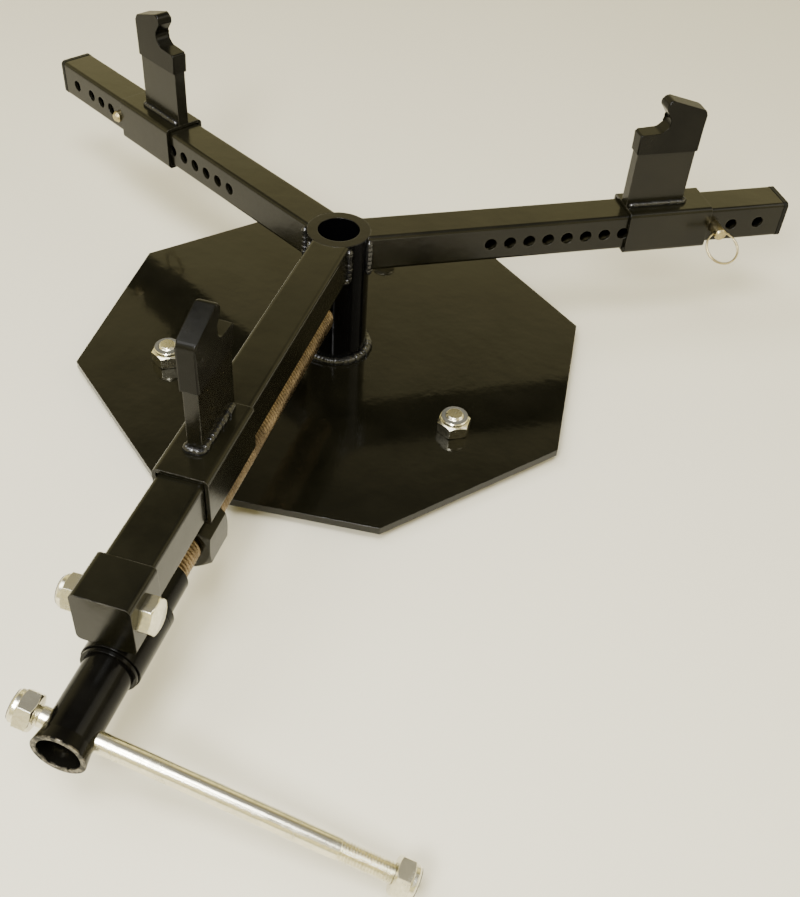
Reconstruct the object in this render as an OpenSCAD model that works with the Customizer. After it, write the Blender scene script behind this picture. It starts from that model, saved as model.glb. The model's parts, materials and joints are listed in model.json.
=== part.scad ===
// Three-arm wheel clamping stand: an octagonal base plate with a hub post, three radial
// square-tube arms, sliding hook jaws, two of them held by ring pins, the third by a screw.
// Frame: hub axis at the underside of the base plate, +Z up, the screw arm along -Y.

/* [Base plate] */
// Distance across the flats of the octagonal plate
plate_af = 322; // [280:1:400]
// Thickness of the plate
plate_t = 5; // [4:0.5:8]
// Pitch circle of the three foot bolts
foot_pcd = 228; // [200:2:240]

/* [Hub post] */
// Outside diameter of the hub tube
post_od = 40.6; // [36:0.2:44]
// Bore of the hub tube
post_id = 27; // [24:0.5:30]
// Height of the arm tops above the underside of the plate
arm_top = 96.2; // [90:0.2:110]

/* [Arms] */
// Side of the square arm tube
arm_w = 25; // [25:1:25]
// Wall of the arm tube
arm_wall = 2; // [1.5:0.5:3]
// Reach of the two pinned arms, to the end of the tube
arm_reach = 307; // [290:1:320]
// Number of pin holes in the row
hole_count = 14; // [10:1:14]
// Distance between pin holes
hole_pitch = 13.2; // [12:0.1:13.5]
// Distance of the first pin hole from the hub axis
first_hole = 98.6; // [90:0.1:100]
// Distance of the last hole from the end of the tube
tip_hole_inset = 17; // [14:0.5:18]

/* [Sleeves and jaws] */
// Outside size of the square sleeves
sleeve_w = 30; // [29.6:0.2:32]
// Length of a sleeve
sleeve_l = 58.5; // [50:0.5:60]
// Inner end of the front sleeve, from the hub axis
front_sleeve_r = 178.7; // [170:0.1:180]
// Pin hole that stops the right sleeve, counted from 0
right_stop_hole = 12; // [8:1:12]
// Pin hole that stops the left sleeve, counted from 0
left_stop_hole = 10; // [8:1:12]
// Thickness of the steel jaw blade
blade_t = 8; // [6:0.5:8]
// Thickness of the plastic jaw cover
cover_t = 10.6; // [10.4:0.2:12]

/* [Screw and crank] */
// Height of the screw axis above the underside of the plate
screw_z = 52.5; // [52:0.1:52.8]
// Outside diameter of the screw
screw_d = 20; // [20:0.1:20]
// Inner end of the screw, from the hub axis
screw_r0 = 34; // [32:1:40]
// Outside diameter of the crank tube
crank_od = 24.6; // [24:0.1:25]
// Outer end of the crank tube, from the hub axis
crank_end = 368; // [364:1:375]
// Diameter of the handle bar
handle_d = 10; // [9:0.5:10]
// Length of the handle bar
handle_l = 193.6; // [170:0.1:220]
// Angle of the handle below the horizontal, right end down
handle_tilt = 14; // [0:1:40]

/* [Pins] */
// Diameter of the stop pins
pin_d = 8; // [7:0.5:8]
// Outside diameter of the pull rings
ring_od = 24; // [22:0.5:26]
// Wire diameter of the pull rings
ring_wire = 1.8; // [1.5:0.1:2]

/* [Hidden] */
$fn = 64;

// directions of the three arms
front_dir = -90;
right_dir = 30;
left_dir = 150;

// derived heights
arm_mid = arm_top - arm_w / 2;
sleeve_bottom = arm_mid - sleeve_w / 2;
sleeve_top = arm_mid + sleeve_w / 2;

// plate and its bolts
plate_r = plate_af / 2 / cos(22.5);
plate_turn = 27.4;
foot_angles = [-30, 90, 210];
foot_d = 12;
foot_head_h = 7.5;
foot_af = 19;
foot_nut_h = 12;
foot_bolt_end = plate_t + foot_nut_h + 1.5;
foot_hole_d = 13;

// arms
arm_corner = 2.5;
pin_hole_d = pin_d + 0.15;
front_arm_end = 316;
tip_hole_r = arm_reach - tip_hole_inset;

// sleeves: 0.4 mm free all round the arm
sleeve_gap = 0.4;
sleeve_corner = 3;
stop_gap = 1;
right_pin_r = first_hole + right_stop_hole * hole_pitch;
left_pin_r = first_hole + left_stop_hole * hole_pitch;
right_sleeve_r = right_pin_r - pin_d / 2 - stop_gap - sleeve_l;
left_sleeve_r = left_pin_r - pin_d / 2 - stop_gap - sleeve_l;

// jaw outlines, x outwards from the sleeve's inner end, z above the arm tops
blade_w = 40;
blade_foot = sleeve_top - arm_top;
cover_bottom = 41;
blade_outline = [
    [0, blade_foot], [0, 53], [13.1, 53.8], [20.9, 60.8], [16.1, 67.3], [14.2, 72.1],
    [14.1, 74.7], [15.3, 75.6], [37.2, 68.5], [39.4, 66.7], [blade_w, 64.7],
    [blade_w, blade_foot]
];
cover_outline = [
    [-1.2, cover_bottom], [-1.2, 53.2], [-0.2, 54.2], [12.6, 55], [19, 60.8], [15, 66.8],
    [13, 71.8], [12.9, 75.2], [15, 77], [37.8, 69.6], [40.5, 67.4], [41.2, 64.9],
    [41.2, cover_bottom]
];
cover_fit = 0.1;

// end cap over the front arm and its bolt
cap_r0 = 293;
cap_r1 = 319.5;
cap_w = 30;
cap_z0 = 67.5;
cap_z1 = 98.7;
cap_plate = 3;
cap_inner = 25.2;
m10 = 10;
m10_af = 17;
m10_head_h = 6.4;
m10_nut_h = 11;
cap_bolt_r = 307.5;
cap_bolt_z = 83.2;
cap_bolt_hole = 10.4;

// bearing housing under the cap and the parts that turn in it
housing_r0 = 289;
housing_r1 = 320;
housing_od = 2 * (cap_z0 - screw_z);
crank_clear = 0.05;
crank_r0 = 262;
crank_id = screw_d;
flare_l = 7;
flare_od = 26.8;
flare_id = 21.2;
rear_ring_t = 4.5;
front_ring_t = 2;
ring_gap = 0.3;
screw_r1 = 275;

// drive nut under the front sleeve
nut_r0 = 219;
nut_r1 = 242;
nut_af = 30;
nut_clear = 0.06;

// handle: L is measured along the bar from the screw axis, positive to the right
handle_r = 355;
handle_clear = 0.08;
handle_left = -28.8;
handle_right = handle_left + handle_l;
nut_proud = 0.6;

// pins
pin_near = 25;
pin_far = 18;
right_ring_swing = 55;
ring_hole_inset = 3.6;
ring_hole_d = 3.4;
ring_mean = (ring_od - ring_wire) / 2;
ring_sag = ring_mean - sqrt(ring_mean * ring_mean - pin_d * pin_d / 4);

// ---------- placing ----------

// puts a child drawn with the arm along +X onto the arm in direction dir
module on_arm(dir) {
    rotate([0, 0, dir]) children();
}

// turns a child drawn along +Z so that it runs along +X, starting at distance r
module along_x(r, z) {
    translate([r, 0, z]) rotate([0, 90, 0]) children();
}

// turns a child drawn along +Z so that it runs across the arm, along +Y, starting at y
module across(r, y, z) {
    translate([r, y, z]) rotate([-90, 0, 0]) children();
}

// the handle's own line: a child drawn along +Z runs to the lower right
module along_handle() {
    on_arm(front_dir)
        translate([handle_r, 0, screw_z])
            rotate([-90 - handle_tilt, 0, 0])
                children();
}

// ---------- shared shapes ----------

// square with round corners, made of plain shapes so that it stays exact
module round_square(w, h, r) {
    square([w - 2 * r, h], center = true);
    square([w, h - 2 * r], center = true);
    for (x = [-1, 1], y = [-1, 1])
        translate([x * (w / 2 - r), y * (h / 2 - r)]) circle(r, $fn = 48);
}

// square tube along +X from r0 to r1, centred on height z
module square_tube(r0, r1, z, w, inner, corner) {
    along_x(r0, z)
        linear_extrude(r1 - r0)
            difference() {
                round_square(w, w, corner);
                square(inner, center = true);
            }
}

// round tube along +Z
module round_tube(od, id, h) {
    difference() {
        cylinder(d = od, h = h);
        translate([0, 0, -1]) cylinder(d = id, h = h + 2);
    }
}

// hexagon prism along +Z with its corners rounded off by 30 degree chamfers
module chamfered_hex(af, h, bottom, top) {
    corner_r = af / 2 / cos(30);
    drop = (corner_r - af / 2 * 0.96) * tan(30);
    intersection() {
        cylinder(d = 2 * corner_r, h = h, $fn = 6);
        rotate_extrude()
            polygon([
                [0, 0],
                [bottom ? af / 2 * 0.96 : corner_r, 0],
                [corner_r, bottom ? drop : 0],
                [corner_r, top ? h - drop : h],
                [top ? af / 2 * 0.96 : corner_r, h],
                [0, h]
            ]);
    }
}

// self-locking nut: hexagon below, round collar that holds the insert above
module lock_nut(d, af, h) {
    hex_h = h * 0.72;
    difference() {
        union() {
            chamfered_hex(af, hex_h, true, true);
            rotate_extrude()
                polygon([
                    [0, hex_h - 0.5], [af * 0.46, hex_h - 0.5], [af * 0.46, h - 1.2],
                    [af * 0.4, h], [0, h]
                ]);
        }
        translate([0, 0, -1]) cylinder(d = d, h = h + 2);
    }
}

// hexagon-headed bolt along +Z: the head lies below z = 0, the shank above
module hex_bolt(d, af, head_h, length) {
    translate([0, 0, -head_h]) chamfered_hex(af, head_h, true, false);
    cylinder(d = d, h = length - 1);
    translate([0, 0, length - 1]) cylinder(d1 = d, d2 = d - 2, h = 1);
}

// ---------- base and hub ----------

module at_feet() {
    for (a = foot_angles)
        rotate([0, 0, a]) translate([foot_pcd / 2, 0, 0]) children();
}

module base_plate() {
    color("#17150f")
        difference() {
            rotate([0, 0, plate_turn])
                linear_extrude(plate_t) circle(plate_r, $fn = 8);
            translate([0, 0, -1]) cylinder(d = post_od, h = plate_t + 2);
            at_feet() translate([0, 0, -1]) cylinder(d = foot_hole_d, h = plate_t + 2);
        }
}

// the heads under the plate are the three feet that the stand rests on
module plate_bolts() {
    color("#c9c3a4")
        at_feet() hex_bolt(foot_d, foot_af, foot_head_h, foot_bolt_end);
}

module plate_nuts() {
    color("#cfc9a8")
        at_feet() translate([0, 0, plate_t]) lock_nut(foot_d, foot_af, foot_nut_h);
}

module center_post() {
    color("#0b0b0c")
        round_tube(post_od, post_id, arm_top);
}

// fillet weld round the foot of the post
module post_weld() {
    leg = 5.5;
    color("#8f8f90")
        translate([0, 0, plate_t])
            rotate_extrude()
                polygon([
                    [post_od / 2, 0], [post_od / 2 + leg, 0],
                    [post_od / 2 + leg * 0.62, leg * 0.55], [post_od / 2, leg]
                ]);
}

// beads on the three outer sides of each arm's butt joint with the post
module hub_welds() {
    bead = 3;
    corner_x = sqrt(post_od * post_od / 4 - arm_w * arm_w / 4);
    arm_bottom = arm_top - arm_w;
    color("#2a2926")
        for (dir = [front_dir, right_dir, left_dir])
            on_arm(dir)
                difference() {
                    union() {
                        for (side = [-1, 1])
                            translate([corner_x + 1, side * (arm_w / 2 + 0.6), arm_bottom])
                                cylinder(r = bead, h = arm_w - 0.6);
                        rotate([0, 0, -34])
                            rotate_extrude(angle = 68)
                                translate([post_od / 2 + 0.6, arm_bottom - 0.6]) circle(bead);
                    }
                    translate([0, 0, arm_bottom - 10]) cylinder(d = post_od, h = arm_w + 20);
                    translate([0, -arm_w / 2, arm_bottom]) cube([60, arm_w, arm_w + 1]);
                }
}

// ---------- arms ----------

// arm tube, cut to the round of the post at its inner end
module arm_tube(reach) {
    difference() {
        square_tube(post_od / 2 - 5, reach, arm_mid, arm_w, arm_w - 2 * arm_wall, arm_corner);
        cylinder(d = post_od, h = arm_top + 10);
    }
}

module cross_hole(r, z, d) {
    across(r, -arm_w, z) cylinder(d = d, h = 2 * arm_w);
}

module pinned_arm() {
    difference() {
        arm_tube(arm_reach);
        for (k = [0 : hole_count - 1])
            cross_hole(first_hole + k * hole_pitch, arm_mid, pin_hole_d);
        cross_hole(tip_hole_r, arm_mid, pin_hole_d);
    }
}

module front_arm() {
    color("#17160f")
        on_arm(front_dir)
            difference() {
                arm_tube(front_arm_end);
                cross_hole(cap_bolt_r, cap_bolt_z, cap_bolt_hole);
            }
}

module right_arm() {
    color("#17160f") on_arm(right_dir) pinned_arm();
}

module left_arm() {
    color("#17160f") on_arm(left_dir) pinned_arm();
}

// plastic plug: a flange against the tube's end and a hollow tail inside it
module arm_plug() {
    flange_t = 3;
    tail = 11;
    inner = arm_w - 2 * arm_wall;
    along_x(arm_reach, arm_mid)
        linear_extrude(flange_t) round_square(arm_w + 0.6, arm_w + 0.6, 3);
    along_x(arm_reach - tail, arm_mid)
        linear_extrude(tail)
            difference() {
                square(inner, center = true);
                square(inner - 4, center = true);
            }
}

module right_arm_plug() {
    color("#101010") on_arm(right_dir) arm_plug();
}

module left_arm_plug() {
    color("#101010") on_arm(left_dir) arm_plug();
}

// ---------- end cap and bearing ----------

// closed box over the end of the front arm
module end_cap() {
    cap_mid = (cap_z0 + cap_z1) / 2;
    color("#14130f")
        on_arm(front_dir)
            difference() {
                along_x(cap_r0, cap_mid)
                    linear_extrude(cap_r1 - cap_r0)
                        round_square(cap_z1 - cap_z0, cap_w, 3);
                along_x(cap_r0 - 1, arm_mid)
                    linear_extrude(cap_r1 - cap_r0 - cap_plate + 1)
                        square(cap_inner, center = true);
                cross_hole(cap_bolt_r, cap_bolt_z, cap_bolt_hole);
            }
}

module end_cap_bolt() {
    length = cap_w + m10_nut_h + 1.5;
    color("#d8d2b4")
        on_arm(front_dir)
            translate([cap_bolt_r, cap_w / 2, cap_bolt_z])
                rotate([90, 0, 0])
                    hex_bolt(m10, m10_af, m10_head_h, length);
}

module end_cap_nut() {
    color("#d8d2b4")
        on_arm(front_dir)
            translate([cap_bolt_r, -cap_w / 2, cap_bolt_z])
                rotate([90, 0, 0])
                    lock_nut(m10, m10_af, m10_nut_h);
}

// the tube that the crank turns in; its top line touches the cap's underside
module bearing_housing() {
    color("#1b1914")
        on_arm(front_dir)
            along_x(housing_r0, screw_z)
                round_tube(housing_od, crank_od + 2 * crank_clear, housing_r1 - housing_r0);
}

// two fillets between the cap's underside and the housing
module housing_weld() {
    inner_edge = 2.5;
    outer_edge = 8.5;
    fill_h = 3;
    color("#24221c")
        on_arm(front_dir)
            difference() {
                for (side = [-1, 1])
                    translate([
                        cap_r0 + 1,
                        side > 0 ? inner_edge : -outer_edge,
                        cap_z0 - fill_h
                    ])
                        cube([cap_r1 - cap_r0 - 2, outer_edge - inner_edge, fill_h]);
                along_x(cap_r0 - 1, screw_z) cylinder(d = housing_od, h = cap_r1 - cap_r0 + 2);
            }
}

// ---------- screw and crank ----------

// threaded rod, drawn at its outside diameter, with chamfered ends
module screw_rod() {
    chamfer = 1.5;
    color("#6d5a3c")
        on_arm(front_dir)
            along_x(screw_r0, screw_z)
                rotate_extrude()
                    polygon([
                        [0, 0], [screw_d / 2 - chamfer, 0], [screw_d / 2, chamfer],
                        [screw_d / 2, screw_r1 - screw_r0], [0, screw_r1 - screw_r0]
                    ]);
}

// crank tube with a slightly flared open end and a cross hole for the handle
module crank_tube() {
    body_l = crank_end - flare_l - crank_r0;
    color("#100f0c")
        difference() {
            on_arm(front_dir)
                along_x(crank_r0, screw_z)
                    rotate_extrude()
                        polygon([
                            [crank_id / 2, 0], [crank_od / 2, 0], [crank_od / 2, body_l],
                            [flare_od / 2, body_l + flare_l], [flare_id / 2, body_l + flare_l],
                            [crank_id / 2, body_l]
                        ]);
            along_handle()
                translate([0, 0, -20]) cylinder(d = handle_d + 2 * handle_clear, h = 40);
        }
}

module thrust_ring(r0, t, od) {
    on_arm(front_dir) along_x(r0, screw_z) round_tube(od, crank_od, t);
}

module front_thrust_ring() {
    color("#0e0d0b") thrust_ring(housing_r1 + ring_gap, front_ring_t, housing_od - 1.6);
}

module rear_thrust_ring() {
    color("#0e0d0b") thrust_ring(housing_r0 - ring_gap - rear_ring_t, rear_ring_t, housing_od);
}

// ---------- handle ----------

module handle_bar() {
    chamfer = 0.8;
    color("#cdc6a2")
        along_handle()
            translate([0, 0, handle_left])
                rotate_extrude()
                    polygon([
                        [0, 0], [handle_d / 2 - chamfer, 0], [handle_d / 2, chamfer],
                        [handle_d / 2, handle_l - chamfer], [handle_d / 2 - chamfer, handle_l],
                        [0, handle_l]
                    ]);
}

module handle_nut_left() {
    color("#d8d2b4")
        along_handle()
            translate([0, 0, handle_left + nut_proud + m10_nut_h])
                rotate([180, 0, 0])
                    lock_nut(handle_d, m10_af, m10_nut_h);
}

module handle_nut_right() {
    color("#d8d2b4")
        along_handle()
            translate([0, 0, handle_right - nut_proud - m10_nut_h])
                lock_nut(handle_d, m10_af, m10_nut_h);
}

// ---------- sleeves and jaws ----------

module sleeve(r0) {
    square_tube(r0, r0 + sleeve_l, arm_mid, sleeve_w, arm_w + 2 * sleeve_gap, sleeve_corner);
}

// upright plate standing on the sleeve, drawn in the arm's vertical plane
module jaw_plate(r0, outline, t) {
    translate([r0, t / 2, arm_top])
        rotate([90, 0, 0])
            linear_extrude(t) polygon(outline);
}

// hook plate of steel
module jaw_blade(r0) {
    jaw_plate(r0, blade_outline, blade_t);
}

// plastic cap pushed over the hook, open at the bottom
module jaw_cover(r0) {
    difference() {
        jaw_plate(r0, cover_outline, cover_t);
        jaw_plate(r0, blade_outline, blade_t + 2 * cover_fit);
    }
}

// fillet beads along both faces of the blade's foot
module jaw_weld(r0) {
    leg = 4;
    for (side = [-1, 1])
        translate([r0 + 1, side * blade_t / 2, sleeve_top])
            rotate([90, 0, 90])
                linear_extrude(blade_w - 2)
                    polygon([
                        [0, 0], [side * leg, 0], [side * leg * 0.62, leg * 0.55], [0, leg]
                    ]);
}

module front_sleeve() {
    color("#17150f") on_arm(front_dir) sleeve(front_sleeve_r);
}

module right_sleeve() {
    color("#17150f") on_arm(right_dir) sleeve(right_sleeve_r);
}

module left_sleeve() {
    color("#17150f") on_arm(left_dir) sleeve(left_sleeve_r);
}

module front_jaw_blade() {
    color("#17150f") on_arm(front_dir) jaw_blade(front_sleeve_r);
}

module right_jaw_blade() {
    color("#17150f") on_arm(right_dir) jaw_blade(right_sleeve_r);
}

module left_jaw_blade() {
    color("#17150f") on_arm(left_dir) jaw_blade(left_sleeve_r);
}

module front_jaw_cover() {
    color("#1f1e1c") on_arm(front_dir) jaw_cover(front_sleeve_r);
}

module right_jaw_cover() {
    color("#1f1e1c") on_arm(right_dir) jaw_cover(right_sleeve_r);
}

module left_jaw_cover() {
    color("#1f1e1c") on_arm(left_dir) jaw_cover(left_sleeve_r);
}

module front_jaw_weld() {
    color("#55534c") on_arm(front_dir) jaw_weld(front_sleeve_r);
}

module right_jaw_weld() {
    color("#55534c") on_arm(right_dir) jaw_weld(right_sleeve_r);
}

module left_jaw_weld() {
    color("#55534c") on_arm(left_dir) jaw_weld(left_sleeve_r);
}

// hexagon nut with one corner up, flattened where it meets the sleeve
module drive_nut() {
    color("#191812")
        on_arm(front_dir)
            difference() {
                along_x(nut_r0, screw_z) chamfered_hex(nut_af, nut_r1 - nut_r0, true, true);
                along_x(nut_r0 - 1, screw_z)
                    cylinder(d = screw_d + 2 * nut_clear, h = nut_r1 - nut_r0 + 2);
                translate([nut_r0 - 1, -nut_af, sleeve_bottom])
                    cube([nut_r1 - nut_r0 + 2, 2 * nut_af, nut_af]);
            }
}

// fillets between the sleeve's underside and the nut's two upper flats
module nut_weld() {
    nut_top = screw_z + nut_af / 2 / cos(30);
    meet = (nut_top - sleeve_bottom) / tan(30);
    reach = 8;
    flat_z = nut_top - reach * tan(30);
    color("#4a4842")
        on_arm(front_dir)
            for (side = [-1, 1])
                translate([nut_r0 + 2, 0, 0])
                    rotate([90, 0, 90])
                        linear_extrude(min(nut_r1, front_sleeve_r + sleeve_l) - nut_r0 - 4)
                            polygon([
                                [side * meet, sleeve_bottom], [side * (reach + 1.5), sleeve_bottom],
                                [side * reach, flat_z]
                            ]);
}

// ---------- pins ----------

// pin through the arm with a cross hole for its ring; side is the end that carries the ring
module stop_pin(r, side) {
    chamfer = 1;
    difference() {
        translate([r, -side * pin_far, arm_mid])
            rotate([-side * 90, 0, 0])
                rotate_extrude()
                    polygon([
                        [0, 0], [pin_d / 2 - 1.5 * chamfer, 0], [pin_d / 2, 2 * chamfer],
                        [pin_d / 2, pin_far + pin_near - chamfer],
                        [pin_d / 2 - chamfer, pin_far + pin_near], [0, pin_far + pin_near]
                    ]);
        translate([r - pin_d, side * (pin_near - ring_hole_inset), arm_mid])
            rotate([0, 90, 0])
                cylinder(d = ring_hole_d, h = 2 * pin_d);
    }
}

// ring through the pin's cross hole, square to the pin; swing lifts it outwards
module pin_ring(r, side, swing) {
    translate([r, side * (pin_near - ring_hole_inset), arm_mid])
        rotate([side * swing, 0, 0])
            translate([0, 0, ring_sag / 2 - ring_mean])
                rotate([90, 0, 0])
                    rotate_extrude($fn = 96)
                        translate([ring_mean, 0]) circle(d = ring_wire, $fn = 24);
}

module right_pin() {
    color("#b7ae86") on_arm(right_dir) stop_pin(right_pin_r, -1);
}

module left_pin() {
    color("#b7ae86") on_arm(left_dir) stop_pin(left_pin_r, -1);
}

module right_pin_ring() {
    color("#a89c6c") on_arm(right_dir) pin_ring(right_pin_r, -1, right_ring_swing);
}

module left_pin_ring() {
    color("#a89c6c") on_arm(left_dir) pin_ring(left_pin_r, -1, 0);
}

// ---------- drawing ----------

base_plate();
plate_bolts();
plate_nuts();
center_post();
post_weld();
hub_welds();
front_arm();
right_arm();
left_arm();
right_arm_plug();
left_arm_plug();
end_cap();
end_cap_bolt();
end_cap_nut();
bearing_housing();
housing_weld();
screw_rod();
crank_tube();
front_thrust_ring();
rear_thrust_ring();
front_sleeve();
drive_nut();
nut_weld();
front_jaw_blade();
front_jaw_cover();
front_jaw_weld();
right_sleeve();
right_jaw_blade();
right_jaw_cover();
right_jaw_weld();
left_sleeve();
left_jaw_blade();
left_jaw_cover();
left_jaw_weld();
right_pin();
right_pin_ring();
left_pin();
left_pin_ring();
handle_bar();
handle_nut_left();
handle_nut_right();
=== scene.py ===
import json
import math
import random

import bmesh
import bpy
from mathutils import Matrix, Vector

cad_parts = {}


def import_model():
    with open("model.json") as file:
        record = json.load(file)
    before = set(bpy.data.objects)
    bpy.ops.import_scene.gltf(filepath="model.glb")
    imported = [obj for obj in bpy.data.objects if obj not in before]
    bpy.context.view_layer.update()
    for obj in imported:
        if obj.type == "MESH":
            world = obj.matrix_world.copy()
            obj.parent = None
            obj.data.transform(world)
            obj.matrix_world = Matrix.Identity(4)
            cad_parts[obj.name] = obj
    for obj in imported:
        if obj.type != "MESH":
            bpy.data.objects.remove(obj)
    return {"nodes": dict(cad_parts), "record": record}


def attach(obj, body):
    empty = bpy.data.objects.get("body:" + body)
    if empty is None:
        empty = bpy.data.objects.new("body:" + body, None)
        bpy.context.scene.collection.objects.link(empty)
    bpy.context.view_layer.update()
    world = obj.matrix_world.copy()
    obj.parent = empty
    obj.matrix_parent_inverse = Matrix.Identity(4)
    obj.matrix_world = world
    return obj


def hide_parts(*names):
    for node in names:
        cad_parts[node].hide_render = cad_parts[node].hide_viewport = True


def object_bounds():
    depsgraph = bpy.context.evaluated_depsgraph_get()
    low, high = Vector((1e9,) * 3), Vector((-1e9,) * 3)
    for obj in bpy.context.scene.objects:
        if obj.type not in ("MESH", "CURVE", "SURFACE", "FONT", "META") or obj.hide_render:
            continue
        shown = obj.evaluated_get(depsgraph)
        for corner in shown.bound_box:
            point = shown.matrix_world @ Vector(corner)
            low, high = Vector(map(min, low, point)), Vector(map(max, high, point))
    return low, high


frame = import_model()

CAD_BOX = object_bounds()
NODES = frame["nodes"]
ARMS = {"front": -90, "right": 30, "left": 150}

# sizes that repeat the CAD model's, in millimetres
ARM_TOP = 96.2
SLEEVE_TOP = 98.7
SCREW_Z = 52.5
JAW_R = {"front": 178.7, "right": 193.5, "left": 167.1}
PIN_R = {"right": 257.0, "left": 230.6}
FEET = (-30, 90, 210)
FOOT_R = 114
HANDLE_R = 355
HANDLE_TILT = 14
CAP_BOLT_R = 307.5
CAP_BOLT_Z = 83.2
CAP_HALF = 15
TUBE = 25
PLATE_T = 5
PIN_Z = 83.7
RING_OUT = 21.4
RING_MEAN = 11.1
RIM_Y = (-0.3672, -0.3679)

# distance between the rings of a weld bead, in millimetres
BEAD_STEP = 0.32

COVER_T = 10.6
# corners of the cover's side view, each with its rounding
COVER_CORNERS = [
    (-1.2, 41, 0), (-1.2, 54.2, 1.3), (13, 55, 5), (19.6, 61, 4.5), (12.3, 71, 3.2),
    (13.6, 77.4, 3.2), (41.2, 68.6, 3.6), (41.2, 41, 0),
]


# ---------- placing ----------

def millimetres(x, y, z):
    return Vector((x / 1000, y / 1000, z / 1000))


def on_arm(direction):
    return Matrix.Rotation(math.radians(direction), 4, "Z")


def along_x(r, z):
    return Matrix.Translation(millimetres(r, 0, z)) @ Matrix.Rotation(math.pi / 2, 4, "Y")


def across(r, y, z, side):
    turn = Matrix.Rotation(-side * math.pi / 2, 4, "X")
    return Matrix.Translation(millimetres(r, y, z)) @ turn


def along_handle():
    turn = Matrix.Rotation(math.radians(-90 - HANDLE_TILT), 4, "X")
    return on_arm(-90) @ Matrix.Translation(millimetres(HANDLE_R, 0, SCREW_Z)) @ turn


# ---------- mesh tools ----------

def add_piece(name, bm, place, smooth=35):
    bmesh.ops.recalc_face_normals(bm, faces=bm.faces)
    mesh = bpy.data.meshes.new(name)
    bm.to_mesh(mesh)
    bm.free()
    mesh.transform(place)
    for face in mesh.polygons:
        face.use_smooth = True
    mesh.set_sharp_from_angle(angle=math.radians(smooth))
    piece = bpy.data.objects.new(name, mesh)
    bpy.context.scene.collection.objects.link(piece)
    return piece


def join(name, pieces):
    bm = bmesh.new()
    for piece in pieces:
        bm.from_mesh(piece.data)
        bpy.data.objects.remove(piece)
    return add_piece(name, bm, Matrix())


def stack_rings(bm, rings, closed=False):
    rows = [[bm.verts.new(p) for p in ring] for ring in rings]
    count = len(rows[0])
    last = len(rows) if closed else len(rows) - 1
    for i in range(last):
        a = rows[i]
        b = rows[(i + 1) % len(rows)]
        for j in range(count):
            k = (j + 1) % count
            bm.faces.new((a[j], a[k], b[k], b[j]))
    if not closed:
        bm.faces.new(rows[0])
        bm.faces.new(list(reversed(rows[-1])))


def circle(r, z, count):
    steps = [2 * math.pi * j / count for j in range(count)]
    return [(r * math.cos(a), r * math.sin(a), z) for a in steps]


def turned(bm, profile, count=48):
    rings = [[Vector(p) / 1000 for p in circle(r, z, count)] for r, z in profile]
    stack_rings(bm, rings)


# screw thread along +Z from z0 to z1, in millimetres, with chamfered ends
def thread(bm, d, pitch, z0, z1, chamfer=1.0, steps=36, rows=10):
    major = d / 2
    depth = 0.6 * pitch
    shape = []
    for i in range(rows):
        t = i / rows
        rise = min(1, max(0, (abs(t - 0.5) * 2 - 0.16) / 0.68))
        shape.append(major - depth * (1 - rise))
    length = z1 - z0
    turns = int(length / pitch) + 2
    grid = []
    for i in range(turns * rows + 1):
        line = []
        for j in range(steps + 1):
            z = (i / rows + j / steps - 1) * pitch
            z = min(max(z, 0), length)
            end = min(z, length - z)
            r = min(shape[i % rows], major - depth - 0.02 * d + max(0, end) * depth / chamfer)
            a = 2 * math.pi * j / steps
            line.append(Vector((r * math.cos(a), r * math.sin(a), z0 + z)) / 1000)
        grid.append(line)
    rows_of_verts = [[bm.verts.new(p) for p in line] for line in grid]
    for i in range(len(grid) - 1):
        for j in range(steps):
            a = rows_of_verts[i]
            b = rows_of_verts[i + 1]
            bm.faces.new((a[j], a[j + 1], b[j + 1], b[j]))
    bmesh.ops.remove_doubles(bm, verts=bm.verts, dist=1e-6)
    rims = [e for e in bm.edges if e.is_boundary]
    bmesh.ops.holes_fill(bm, edges=rims, sides=0)


def hex_radius(angle, af):
    sector = math.pi / 3
    return af / 2 / math.cos((angle % sector) - sector / 2)


# hexagon prism with chamfered corners, along +Z
def hexagon(bm, af, z0, z1, bottom=True, top=True):
    levels = [z0]
    if bottom:
        levels += [z0 + 0.35, z0 + 0.8, z0 + 1.3]
    if top:
        levels += [z1 - 1.3, z1 - 0.8, z1 - 0.35]
    levels.append(z1)
    rings = []
    for z in levels:
        limit = af
        if bottom:
            limit = min(limit, af / 2 * 0.95 + (z - z0) * 1.75)
        if top:
            limit = min(limit, af / 2 * 0.95 + (z1 - z) * 1.75)
        ring = []
        for j in range(48):
            a = 2 * math.pi * j / 48
            r = min(limit, hex_radius(a, af))
            ring.append(Vector((r * math.cos(a), r * math.sin(a), z)) / 1000)
        rings.append(ring)
    stack_rings(bm, rings)


# ---------- weld beads ----------

def frames_along(points, closed):
    count = len(points)
    result = []
    for i, p in enumerate(points):
        if closed:
            ahead = points[(i + 1) % count]
            behind = points[i - 1]
        else:
            ahead = points[min(i + 1, count - 1)]
            behind = points[max(i - 1, 0)]
        tangent = (ahead - behind).normalized()
        up = Vector((0, 0, 1))
        if abs(tangent.z) > 0.9:
            up = Vector((1, 0, 0))
        side = tangent.cross(up).normalized()
        result.append((p, side, side.cross(tangent)))
    return result


def resample(points, step, closed):
    loop = points + [points[0]] if closed else points
    lengths = [(b - a).length for a, b in zip(loop, loop[1:])]
    total = sum(lengths)
    count = max(4, int(total / step))
    result = []
    for i in range(count if closed else count + 1):
        want = total * i / count
        k = 0
        while k < len(lengths) - 1 and want > lengths[k]:
            want -= lengths[k]
            k += 1
        part = min(1, want / lengths[k]) if lengths[k] else 0
        result.append(loop[k].lerp(loop[k + 1], part))
    return result


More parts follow.
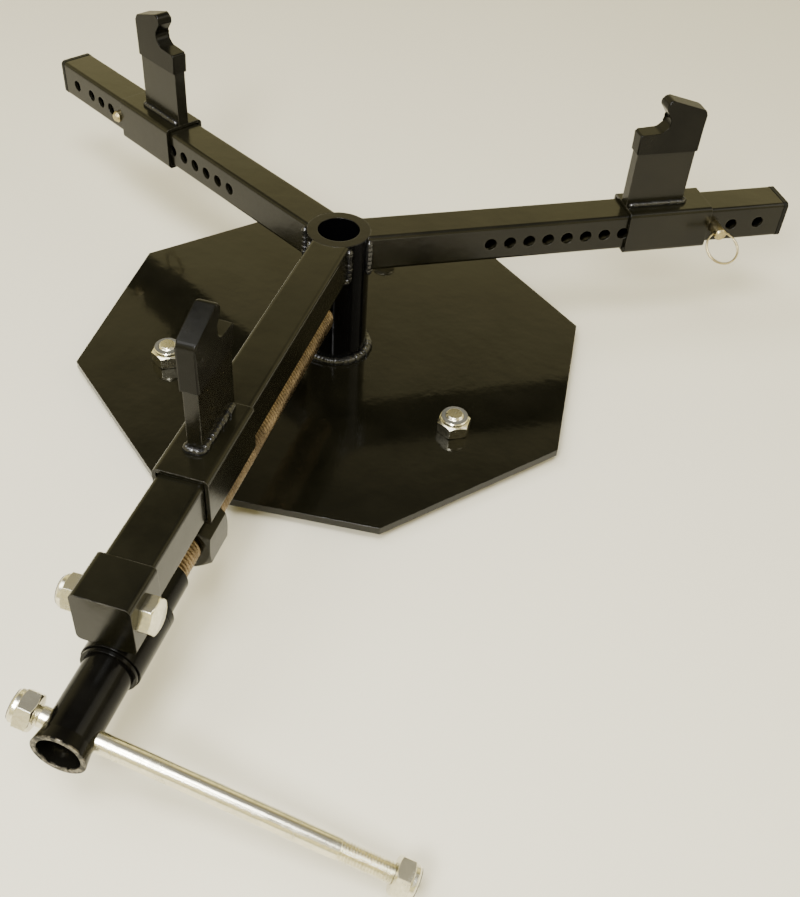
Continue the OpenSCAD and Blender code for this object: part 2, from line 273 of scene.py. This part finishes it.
# a bead laid along points (millimetres) with overlapping half-moon ripples
def bead(bm, points, radius, closed=False, ripple=1.9, seed=1, count=14):
    rng = random.Random(seed)
    path = resample([Vector(p) for p in points], BEAD_STEP, closed)
    rings = []
    swell = 1.0
    drift = 0.0
    total = len(path)
    for i, (p, side, up) in enumerate(frames_along(path, closed)):
        phase = (i * BEAD_STEP / ripple) % 1
        if phase < BEAD_STEP / ripple:
            swell = 1 + rng.uniform(-0.18, 0.18)
            drift = rng.uniform(-0.12, 0.12)
        wave = 1 + 0.22 * (math.sqrt(max(0, 1 - phase * phase)) - 0.7)
        end = 1.0
        if not closed:
            near = min(i, total - 1 - i) * BEAD_STEP
            end = min(1, math.sqrt(min(1, near / radius + 0.02)))
        r = radius * swell * wave * end
        ring = []
        for j in range(count):
            a = 2 * math.pi * j / count
            offset = side * (r * math.cos(a) + drift) + up * (r * math.sin(a))
            ring.append((p + offset) / 1000)
        rings.append(ring)
    stack_rings(bm, rings, closed)


# ---------- node tools ----------

class Nodes:
    def __init__(self, name):
        self.material = bpy.data.materials.new(name)
        self.material.use_nodes = True
        self.tree = self.material.node_tree
        self.tree.nodes.clear()
        self.shader = self.add("ShaderNodeBsdfPrincipled")
        self.output = self.add("ShaderNodeOutputMaterial")
        self.link(self.shader.outputs[0], self.output.inputs[0])
        self.place = self.add("ShaderNodeTexCoord").outputs["Object"]

    def add(self, kind, **settings):
        node = self.tree.nodes.new(kind)
        for key, value in settings.items():
            setattr(node, key, value)
        return node

    def link(self, source, target):
        self.tree.links.new(source, target)

    def set(self, **values):
        for key, value in values.items():
            self.shader.inputs[key.replace("_", " ")].default_value = value

    def noise(self, scale, detail=3.0, rough=0.55, stretch=None):
        node = self.add("ShaderNodeTexNoise")
        node.inputs["Scale"].default_value = scale
        node.inputs["Detail"].default_value = detail
        node.inputs["Roughness"].default_value = rough
        source = self.place
        if stretch:
            mapping = self.add("ShaderNodeMapping")
            mapping.inputs["Scale"].default_value = stretch
            self.link(self.place, mapping.inputs["Vector"])
            source = mapping.outputs[0]
        self.link(source, node.inputs["Vector"])
        return node.outputs["Fac"]

    def spread(self, fac, low, high, out_low=0.0, out_high=1.0):
        node = self.add("ShaderNodeMapRange")
        self.link(fac, node.inputs["Value"])
        node.inputs["From Min"].default_value = low
        node.inputs["From Max"].default_value = high
        node.inputs["To Min"].default_value = out_low
        node.inputs["To Max"].default_value = out_high
        return node.outputs["Result"]

    def mix(self, fac, a, b):
        node = self.add("ShaderNodeMix", data_type="RGBA")
        self.link(fac, node.inputs["Factor"])
        for value, index in ((a, 6), (b, 7)):
            if isinstance(value, tuple):
                node.inputs[index].default_value = (*value, 1)
            else:
                self.link(value, node.inputs[index])
        return node.outputs[2]

    def maths(self, operation, a, b):
        node = self.add("ShaderNodeMath", operation=operation)
        for value, index in ((a, 0), (b, 1)):
            if isinstance(value, (int, float)):
                node.inputs[index].default_value = value
            else:
                self.link(value, node.inputs[index])
        return node.outputs[0]

    # surface relief over a rounded-edge normal
    def relief(self, heights, radius=0.0006):
        bevel = self.add("ShaderNodeBevel", samples=6)
        bevel.inputs["Radius"].default_value = radius
        normal = bevel.outputs[0]
        for height, distance in heights:
            bump = self.add("ShaderNodeBump")
            bump.inputs["Strength"].default_value = 1.0
            bump.inputs["Distance"].default_value = distance
            self.link(height, bump.inputs["Height"])
            self.link(normal, bump.inputs["Normal"])
            normal = bump.outputs[0]
        self.link(normal, self.shader.inputs["Normal"])

    # 1 on a part's outer edges, 0 on its faces
    def edges(self, radius=0.0012):
        bevel = self.add("ShaderNodeBevel", samples=6)
        bevel.inputs["Radius"].default_value = radius
        geometry = self.add("ShaderNodeNewGeometry")
        dot = self.add("ShaderNodeVectorMath", operation="DOT_PRODUCT")
        self.link(bevel.outputs[0], dot.inputs[0])
        self.link(geometry.outputs["Normal"], dot.inputs[1])
        return self.spread(dot.outputs["Value"], 0.98, 0.82)


# ---------- materials ----------

# gloss paint over steel; scratch is how far worn edges show the primer
def paint(name, dark, light, roughness, scratch=0.3, shine=0.26):
    edge = (0.05, 0.046, 0.036)
    m = Nodes(name)
    mottle = m.noise(26, 5, 0.6)
    fine = m.noise(900, 3, 0.6)
    streaks = m.noise(160, 4, 0.7, (1, 6, 2))
    colour = m.mix(m.spread(mottle, 0.35, 0.68), dark, light)
    worn = m.maths("MULTIPLY", m.edges(), m.spread(m.noise(240, 4), 0.42, 0.62))
    colour = m.mix(m.maths("MULTIPLY", worn, scratch), colour, edge)
    m.link(colour, m.shader.inputs["Base Color"])
    uneven = m.maths("ADD", streaks, mottle)
    rough = m.spread(uneven, 0.6, 1.4, roughness * 0.85, roughness * 1.15)
    m.link(rough, m.shader.inputs["Roughness"])
    m.set(IOR=1.5, Specular_IOR_Level=shine)
    m.relief([(m.noise(110, 2), 0.00009), (fine, 0.0000015)])
    return m.material


def plate_paint():
    dark = (0.0026, 0.0025, 0.0014)
    light = (0.0055, 0.0050, 0.0028)
    return paint("plate_paint", dark, light, 0.11, 0.5, 0.33)


def post_paint():
    dark = (0.0008, 0.0008, 0.0010)
    light = (0.0016, 0.0016, 0.002)
    return paint("post_paint", dark, light, 0.08, 0.1, 0.25)


def arm_paint():
    dark = (0.0030, 0.0028, 0.0014)
    light = (0.0065, 0.0059, 0.0030)
    return paint("arm_paint", dark, light, 0.2, 0.7)


def crank_paint():
    m = Nodes("crank_paint")
    mottle = m.noise(40, 5, 0.6)
    dark = (0.0014, 0.0013, 0.0011)
    light = (0.0035, 0.0032, 0.0024)
    colour = m.mix(m.spread(mottle, 0.35, 0.68), dark, light)
    apart = m.add("ShaderNodeSeparateXYZ")
    m.link(m.place, apart.inputs[0])
    rim = m.spread(apart.outputs["Y"], *RIM_Y)
    chips = m.spread(m.noise(420, 4), 0.46, 0.62)
    bare = m.maths("MULTIPLY", rim, chips)
    colour = m.mix(bare, colour, (0.14, 0.125, 0.095))
    m.link(colour, m.shader.inputs["Base Color"])
    m.link(m.maths("MULTIPLY", bare, 0.9), m.shader.inputs["Metallic"])
    m.link(m.spread(mottle, 0.3, 0.7, 0.12, 0.2), m.shader.inputs["Roughness"])
    m.set(Specular_IOR_Level=0.09)
    m.relief([(m.noise(110, 2), 0.00008), (bare, 0.00003)])
    return m.material


def weld_metal():
    m = Nodes("weld")
    spots = m.noise(700, 4, 0.65)
    colour = m.mix(m.spread(spots, 0.45, 0.75), (0.004, 0.004, 0.004), (0.022, 0.021, 0.018))
    m.link(colour, m.shader.inputs["Base Color"])
    m.link(m.spread(spots, 0.3, 0.7, 0.08, 0.18), m.shader.inputs["Roughness"])
    m.relief([(m.noise(500, 3), 0.0002)], 0.0003)
    return m.material


def zinc(name, light, dark, roughness, stretch=(1, 1, 1)):
    m = Nodes(name)
    cloud = m.noise(90, 5, 0.6)
    lines = m.noise(500, 3, 0.6, stretch)
    mixed = m.maths("ADD", m.maths("MULTIPLY", cloud, 0.6), m.maths("MULTIPLY", lines, 0.4))
    colour = m.mix(m.spread(mixed, 0.38, 0.62), light, dark)
    m.link(colour, m.shader.inputs["Base Color"])
    m.set(Metallic=1.0)
    m.link(m.spread(mixed, 0.35, 0.65, roughness * 0.75, roughness * 1.35), m.shader.inputs["Roughness"])
    m.relief([(lines, 0.00003)], 0.0004)
    return m.material


def screw_steel():
    m = Nodes("screw_steel")
    cloud = m.noise(60, 5, 0.6)
    grime = m.noise(420, 4, 0.7)
    colour = m.mix(m.spread(cloud, 0.38, 0.64), (0.21, 0.155, 0.092), (0.09, 0.066, 0.04))
    colour = m.mix(m.spread(grime, 0.55, 0.8), colour, (0.03, 0.022, 0.015))
    m.link(colour, m.shader.inputs["Base Color"])
    m.set(Metallic=0.9)
    m.link(m.spread(grime, 0.3, 0.7, 0.2, 0.38), m.shader.inputs["Roughness"])
    m.relief([(grime, 0.00001)], 0.0001)
    return m.material


def plastic(name, dark, light, roughness):
    m = Nodes(name)
    grain = m.noise(1500, 3, 0.6)
    cloud = m.noise(45, 4, 0.6)
    m.link(m.mix(m.spread(cloud, 0.35, 0.65), dark, light), m.shader.inputs["Base Color"])
    m.link(m.spread(cloud, 0.3, 0.7, roughness * 0.8, roughness * 1.2), m.shader.inputs["Roughness"])
    m.set(IOR=1.48, Specular_IOR_Level=0.13)
    m.relief([(grain, 0.000008), (m.noise(160, 2), 0.00006)], 0.0005)
    return m.material


def floor_pale():
    m = Nodes("floor_pale")
    cloud = m.noise(3, 3, 0.5)
    m.link(m.mix(cloud, (0.70, 0.66, 0.52), (0.74, 0.70, 0.56)), m.shader.inputs["Base Color"])
    m.set(Roughness=0.9)
    return m.material


def make_materials():
    return {
        "plate_paint": plate_paint(),
        "post_paint": post_paint(),
        "arm_paint": arm_paint(),
        "crank_paint": crank_paint(),
        "weld": weld_metal(),
        "zinc": zinc("zinc", (0.88, 0.84, 0.66), (0.66, 0.63, 0.49), 0.22),
        "pin_zinc": zinc("pin_zinc", (0.55, 0.47, 0.26), (0.30, 0.25, 0.14), 0.3),
        "screw_steel": screw_steel(),
        "cover_plastic": plastic(
            "cover_plastic", (0.0026, 0.0025, 0.0016), (0.0055, 0.0051, 0.0034), 0.24,
        ),
        "plug_plastic": plastic(
            "plug_plastic", (0.004, 0.004, 0.0035), (0.007, 0.007, 0.006), 0.4,
        ),
        "nylon": plastic("nylon", (0.06, 0.06, 0.05), (0.10, 0.095, 0.08), 0.35),
    }


def finish_piece(piece, body, material):
    piece.data.materials.clear()
    piece.data.materials.append(MATERIALS[material])
    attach(piece, body)


def dress_cad_nodes():
    for sub in frame["record"]["subparts"]:
        node = NODES[sub["node"]]
        node.data.materials.clear()
        node.data.materials.append(MATERIALS[sub["material_slot"]])


# ---------- pieces ----------

def screw():
    bm = bmesh.new()
    thread(bm, 20, 2.5, 0, 241, 1.5, 40, 10)
    piece = add_piece("screw_thread", bm, on_arm(-90) @ along_x(34, SCREW_Z), 60)
    finish_piece(piece, "crank", "screw_steel")
    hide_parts("screw_rod")


def handle():
    bm = bmesh.new()
    turned(bm, [(4.2, -15.9), (5, -15.2), (5, 127.3), (4.2, 128)])
    bar = add_piece("handle_bar_plain", bm, along_handle())
    parts = []
    for z0, z1 in ((-28.8, -15.5), (127.5, 164.8)):
        bm = bmesh.new()
        thread(bm, 10, 1.5, z0, z1, 0.8, 28, 8)
        parts.append(add_piece("end", bm, along_handle(), 60))
    piece = join("handle_bar_threaded", [bar] + parts)
    finish_piece(piece, "handle", "zinc")
    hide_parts("handle_bar")


def foot_bolts():
    parts = []
    for angle in FEET:
        place = on_arm(angle) @ Matrix.Translation(millimetres(FOOT_R, 0, 0))
        bm = bmesh.new()
        hexagon(bm, 19, -7.5, 0, True, False)
        parts.append(add_piece("head", bm, place))
        bm = bmesh.new()
        turned(bm, [(6, -0.5), (6, 3)])
        parts.append(add_piece("shank", bm, place))
        bm = bmesh.new()
        thread(bm, 12, 1.75, 2.5, 18.5, 1.0, 30, 8)
        parts.append(add_piece("end", bm, place, 60))
    piece = join("foot_bolts", parts)
    finish_piece(piece, "frame", "zinc")
    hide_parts("plate_bolts")


def cap_bolt():
    place = on_arm(-90) @ across(CAP_BOLT_R, CAP_HALF, CAP_BOLT_Z, -1)
    bm = bmesh.new()
    hexagon(bm, 17, -6.4, 0, True, False)
    parts = [add_piece("head", bm, place)]
    bm = bmesh.new()
    turned(bm, [(5, -0.5), (5, 28)])
    parts.append(add_piece("shank", bm, place))
    bm = bmesh.new()
    thread(bm, 10, 1.5, 27.5, 42.5, 0.8, 28, 8)
    parts.append(add_piece("end", bm, place, 60))
    piece = join("cap_bolt", parts)
    finish_piece(piece, "frame", "zinc")
    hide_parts("end_cap_bolt")


# nylon ring in the collar of a locking nut; z is the collar's end
def nylon_ring(name, place, d, z, body):
    bm = bmesh.new()
    outer = d * 0.7
    inner = d * 0.49
    turns = [(outer, z - 0.3), (outer, z + 0.12), (outer - 0.25, z + 0.3)]
    turns += [(inner + 0.25, z + 0.3), (inner, z + 0.12), (inner, z - 0.3)]
    rings = [[Vector(p) / 1000 for p in circle(r, h, 40)] for r, h in turns]
    stack_rings(bm, rings, True)
    piece = add_piece(name, bm, place)
    finish_piece(piece, body, "nylon")


def nylon_rings():
    for index, angle in enumerate(FEET):
        place = on_arm(angle) @ Matrix.Translation(millimetres(FOOT_R, 0, PLATE_T))
        nylon_ring(f"foot_nylon_{index + 1}", place, 12, 11.9, "frame")
    place = on_arm(-90) @ across(CAP_BOLT_R, -CAP_HALF, CAP_BOLT_Z, -1)
    nylon_ring("cap_nylon", place, 10, 10.9, "frame")
    nylon_ring("handle_nylon_right", along_handle(), 10, 164.1, "handle")
    flip = Matrix.Rotation(math.pi, 4, "X")
    nylon_ring("handle_nylon_left", along_handle() @ flip, 10, 28.1, "handle")


# outline with each corner replaced by an arc
def rounded(corners, steps=6):
    result = []
    count = len(corners)
    for i, (x, z, radius) in enumerate(corners):
        here = Vector((x, z))
        if radius == 0:
            result.append(here)
            continue
        before = (Vector(corners[i - 1][:2]) - here).normalized()
        after = (Vector(corners[(i + 1) % count][:2]) - here).normalized()
        half = before.angle(after) / 2
        reach = radius / math.tan(half)
        centre = here + (before + after).normalized() * (radius / math.sin(half))
        start = here + before * reach - centre
        sweep = start.angle_signed(here + after * reach - centre)
        for k in range(steps + 1):
            turn = Matrix.Rotation(-sweep * k / steps, 2)
            result.append(centre + turn @ start)
    return result


def jaw_cover(arm):
    bm = bmesh.new()
    half = COVER_T / 2
    outline = rounded(COVER_CORNERS)
    near = [bm.verts.new(Vector((x, -half, z)) / 1000) for x, z in outline]
    far = [bm.verts.new(Vector((x, half, z)) / 1000) for x, z in outline]
    bm.faces.new(near)
    bm.faces.new(list(reversed(far)))
    count = len(near)
    for i in range(count):
        k = (i + 1) % count
        bm.faces.new((near[k], near[i], far[i], far[k]))
    rims = [e for e in bm.edges if abs(e.verts[0].co.y - e.verts[1].co.y) < 1e-6]
    bottom = outline[0][1] / 1000 + 1e-5
    rims = [e for e in rims if max(v.co.z for v in e.verts) > bottom]
    bmesh.ops.bevel(
        bm, geom=rims, offset=0.0011, segments=4, profile=0.5,
        affect="EDGES", clamp_overlap=True,
    )
    place = on_arm(ARMS[arm]) @ Matrix.Translation(millimetres(JAW_R[arm], 0, ARM_TOP))
    piece = add_piece(f"{arm}_cover_moulding", bm, place, 50)
    flat = piece.modifiers.new("flat_faces", "WEIGHTED_NORMAL")
    flat.keep_sharp = True
    finish_piece(piece, f"{arm}_jaw", "cover_plastic")
    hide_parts(f"{arm}_jaw_cover")


# bead along the sides and the outer end of the jaw blade's foot
def jaw_weld(arm, seed):
    bm = bmesh.new()
    z = SLEEVE_TOP - ARM_TOP + 0.9
    path = [(1.5, -4.4, z), (40.2, -4.4, z), (41.2, -3, z)]
    path += [(41.2, 3, z), (40.2, 4.4, z), (1.5, 4.4, z)]
    bead(bm, path, 2.1, False, 3.1, seed)
    place = on_arm(ARMS[arm]) @ Matrix.Translation(millimetres(JAW_R[arm], 0, ARM_TOP))
    piece = add_piece(f"{arm}_jaw_bead", bm, place, 60)
    finish_piece(piece, f"{arm}_jaw", "weld")
    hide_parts(f"{arm}_jaw_weld")


def post_bead():
    bm = bmesh.new()
    loop = circle(21.9, 6.2, 60)
    bead(bm, loop, 3.1, True, 2.8, 7)
    piece = add_piece("post_bead", bm, Matrix(), 60)
    finish_piece(piece, "frame", "weld")
    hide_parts("post_weld")


def hub_beads():
    parts = []
    for index, direction in enumerate(ARMS.values()):
        bm = bmesh.new()
        bottom = ARM_TOP - TUBE
        path = [(17.4, 13.2, ARM_TOP - 1.5), (17.2, 13.2, bottom), (20.6, 8, bottom - 0.6)]
        path += [(21.4, 0, bottom - 0.8), (20.6, -8, bottom - 0.6)]
        path += [(17.2, -13.2, bottom), (17.4, -13.2, ARM_TOP - 1.5)]
        bead(bm, path, 2.0, False, 3.4, 20 + index)
        parts.append(add_piece("side", bm, on_arm(direction), 60))
    piece = join("hub_beads", parts)
    finish_piece(piece, "frame", "weld")
    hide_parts("hub_welds")


def housing_bead():
    bm = bmesh.new()
    for side in (-1, 1):
        path = [(r, side * 6.4, 65.9) for r in (295, 306, 318)]
        bead(bm, path, 1.9, False, 2.4, 40 + side)
    piece = add_piece("housing_bead", bm, on_arm(-90), 60)
    finish_piece(piece, "frame", "weld")
    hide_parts("housing_weld")


def nut_bead():
    bm = bmesh.new()
    for side in (-1, 1):
        path = [(r, side * 6.2, 67.2) for r in (221, 229, 236)]
        bead(bm, path, 1.9, False, 2.4, 50 + side)
    piece = add_piece("nut_bead", bm, on_arm(-90), 60)
    finish_piece(piece, "front_jaw", "weld")
    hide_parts("nut_weld")


# split ring of two turns in the place of the CAD model's closed ring
def split_ring(arm, swing):
    bm = bmesh.new()
    rings = []
    count = 150
    for i in range(count + 1):
        turn = 1.93 * i / count
        a = 2 * math.pi * turn + 0.9
        slope = min(1, max(0, (turn - 0.86) / 0.22))
        y = -0.44 + 0.88 * slope
        centre = Vector((RING_MEAN * math.cos(a), y, RING_MEAN * math.sin(a)))
        out = Vector((math.cos(a), 0, math.sin(a)))
        ring = []
        for j in range(12):
            b = 2 * math.pi * j / 12
            flat = Vector((0, 1, 0)) * (0.42 * math.sin(b)) + out * (0.66 * math.cos(b))
            ring.append((centre + flat) / 1000)
        rings.append(ring)
    stack_rings(bm, rings)
    lift = RING_MEAN - 0.75 / 2
    hang = millimetres(PIN_R[arm], -RING_OUT, PIN_Z)
    place = on_arm(ARMS[arm]) @ Matrix.Translation(hang)
    place = place @ Matrix.Rotation(math.radians(-swing), 4, "X")
    place = place @ Matrix.Translation(millimetres(0, 0, -lift))
    piece = add_piece(f"{arm}_split_ring", bm, place, 60)
    finish_piece(piece, f"{arm}_ring", "pin_zinc")
    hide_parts(f"{arm}_pin_ring")


# ---------- stage ----------

def floor():
    bm = bmesh.new()
    size = 6
    corners = [(-size, -size), (size, -size), (size, size), (-size, size)]
    bm.faces.new([bm.verts.new((x, y, 0)) for x, y in corners])
    piece = add_piece("floor", bm, Matrix.Translation((0, 0, CAD_BOX[0][2] - 0.0002)))
    piece.data.materials.append(floor_pale())


def area_light(name, place, target, size, power, colour=(1, 1, 1)):
    data = bpy.data.lights.new(name, "AREA")
    data.shape = "RECTANGLE"
    data.size = size[0]
    data.size_y = size[1]
    data.energy = power
    data.color = colour
    lamp = bpy.data.objects.new(name, data)
    lamp.location = place
    lamp.rotation_euler = (Vector(target) - Vector(place)).to_track_quat("-Z", "Y").to_euler()
    bpy.context.scene.collection.objects.link(lamp)


# pale walls that darken towards the ceiling
def world():
    scene_world = bpy.data.worlds.new("studio")
    scene_world.use_nodes = True
    tree = scene_world.node_tree
    back = tree.nodes["Background"]
    place = tree.nodes.new("ShaderNodeTexCoord")
    apart = tree.nodes.new("ShaderNodeSeparateXYZ")
    ramp = tree.nodes.new("ShaderNodeValToRGB")
    tree.links.new(place.outputs["Generated"], apart.inputs[0])
    tree.links.new(apart.outputs["Z"], ramp.inputs["Fac"])
    tree.links.new(ramp.outputs["Color"], back.inputs["Color"])
    stops = ramp.color_ramp.elements
    stops[0].position = 0.0
    stops[0].color = (0.6, 0.55, 0.36, 1)
    stops[1].position = 1.0
    stops[1].color = (0.22, 0.22, 0.23, 1)
    middle = ((0.42, (1.05, 0.92, 0.44, 1)), (0.60, (0.62, 0.54, 0.27, 1)))
    for position, colour in middle + ((0.72, (0.16, 0.14, 0.08, 1)),):
        stop = stops.new(position)
        stop.color = colour
    back.inputs["Strength"].default_value = 1.5
    bpy.context.scene.world = scene_world


def lights():
    area_light("key", (-0.9, -0.5, 1.9), (0, 0, 0.05), (1.2, 1.2), 30)
    area_light("fill", (1.6, 0.2, 1.3), (0, 0, 0.05), (1.2, 1.2), 10, (1, 0.96, 0.86))
    area_light("top", (0.15, -0.75, 1.5), (0.1, -0.4, 0), (0.6, 0.4), 26)
    area_light("spark", (0.02, -0.95, 0.85), (0, 0, 0.05), (0.25, 0.25), 14)


def camera():
    data = bpy.data.cameras.new("camera")
    data.sensor_width = 36
    data.sensor_fit = "AUTO"
    data.lens = 44.256
    data.shift_x = 0.0137
    data.shift_y = 0.0068
    data.clip_start = 0.01
    eye = bpy.data.objects.new("camera", data)
    eye.location = (0.1871, -0.5727, 0.4796)
    eye.rotation_euler = [math.radians(a) for a in (46.06, -3.03, 17.07)]
    bpy.context.scene.collection.objects.link(eye)
    bpy.context.scene.camera = eye


MATERIALS = make_materials()
dress_cad_nodes()
screw()
handle()
foot_bolts()
cap_bolt()
nylon_rings()
for number, arm_name in enumerate(ARMS):
    jaw_cover(arm_name)
    jaw_weld(arm_name, 30 + number)
post_bead()
hub_beads()
housing_bead()
nut_bead()
split_ring("right", 55)
split_ring("left", 0)
floor()
world()
lights()
camera()
